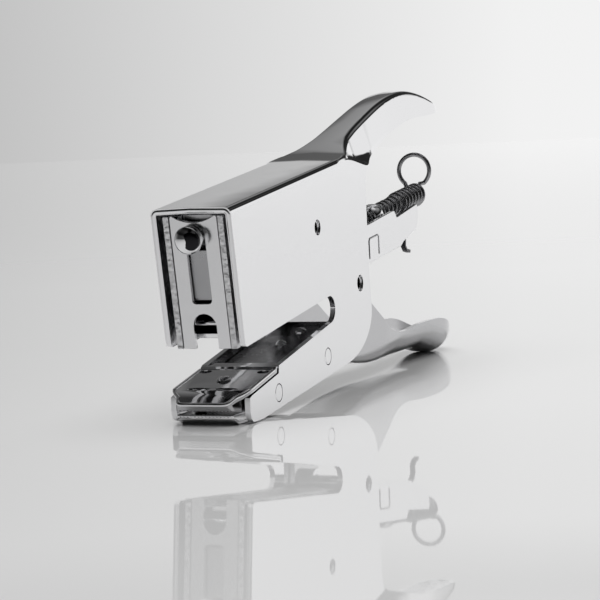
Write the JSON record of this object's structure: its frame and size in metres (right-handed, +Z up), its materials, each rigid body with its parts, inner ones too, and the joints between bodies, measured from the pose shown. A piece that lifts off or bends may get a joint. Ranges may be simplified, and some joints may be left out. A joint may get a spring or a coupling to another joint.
{
  "type": "stapling plier",
  "caption": "Chromed sheet-steel stapling plier with a slanted throat, an anvil jaw, a curved two-part grip, a hinged staple rail and a pull ring at the tail.",
  "frame": {"origin": "centre of the bounding box at its bottom, on the surface the stapler stands on", "axes": "-Y towards the nose and anvil, +Y towards the handles, X across the stapler, +Z up"},
  "size_m": [0.0196, 0.1643, 0.0752],
  "materials": {
    "body_chrome": "mirror chrome",
    "lever_chrome": "mirror chrome",
    "anvil_chrome": "mirror chrome",
    "pin_chrome": "bright chrome",
    "rail_chrome": "bright chrome",
    "stud_chrome": "mirror chrome",
    "ferrule_chrome": "bright chrome",
    "nose_satin": "satin",
    "blade_steel": "brushed",
    "raw_edge_steel": "rough pressed edge",
    "inner_steel": "plain steel",
    "strip_steel": "bright, notched",
    "staple_wire": "galvanised wire",
    "hook_steel": "dark",
    "dark_steel": "dark, plain",
    "rod_steel": "drawn wire",
    "spring_steel": "dark spring wire",
    "ring_wire": "dark spring wire"
  },
  "bodies": {
    "frame": {"body_shell": "body_chrome", "jaw_channel": "inner_steel", "jaw_rivet_front": "pin_chrome", "jaw_rivet_rear": "pin_chrome", "jaw_base_plate": "dark_steel", "notched_strip": "strip_steel", "anvil_block": "inner_steel", "anvil_plate": "anvil_chrome", "anvil_rivet": "anvil_chrome", "pivot_pin": "pin_chrome", "stop_pin": "pin_chrome", "return_spring": "spring_steel"},
    "lever": {"lower_handle": "lever_chrome", "lever_cross_pin": "inner_steel", "pivot_spacer_left": "inner_steel", "pivot_spacer_right": "inner_steel"},
    "magazine": {"nose_plate": "nose_satin", "magazine_housing": "raw_edge_steel", "staple_rail": "rail_chrome", "tail_hook": "hook_steel", "staple_strip": "staple_wire"},
    "driver": {"driver_blade": "blade_steel", "driver_carrier": "inner_steel", "driver_stud": "stud_chrome"},
    "follower": {"pusher_rod": "rod_steel", "rod_ferrule": "ferrule_chrome", "pull_ring": "ring_wire", "pusher_spring": "spring_steel"},
    "pusher_body": {"pusher": "inner_steel"}
  },
  "joints": [
    {"name": "lever", "type": "hinge", "parent": "frame", "child": "lever", "pos_m": [0, -0.00343, 0.0257], "axis": [1, 0, 0], "range_deg": [0, 16.2], "stiffness_Nm_per_rad": 1.2, "springref_deg": -20.05, "deforming": ["return_spring"]},
    {"name": "magazine", "type": "hinge", "parent": "frame", "child": "magazine", "pos_m": [0, -0.00343, 0.0257], "axis": [1, 0, 0], "range_deg": [0, 6.01]},
    {"name": "driver_slide", "type": "slide", "parent": "magazine", "child": "driver", "axis": [0, 0.1519, -0.9884], "range_m": [0, 0.01112]},
    {"name": "follower_slide", "type": "slide", "parent": "magazine", "child": "follower", "axis": [0, 0.9928, 0.1196], "range_m": [0, 0.06]},
    {"name": "pusher_slide", "type": "slide", "parent": "follower", "child": "pusher_body", "axis": [0, 0.9928, 0.1196], "range_m": [0, 0.025], "stiffness_N_per_m": 40, "springref_m": -0.05, "deforming": ["pusher_spring"]}
  ],
  "couplings": [
    {"joint": "magazine", "follows": "lever", "ratio": 0.3704},
    {"joint": "driver_slide", "follows": "lever", "m_per_rad": 0.03926}
  ]
}
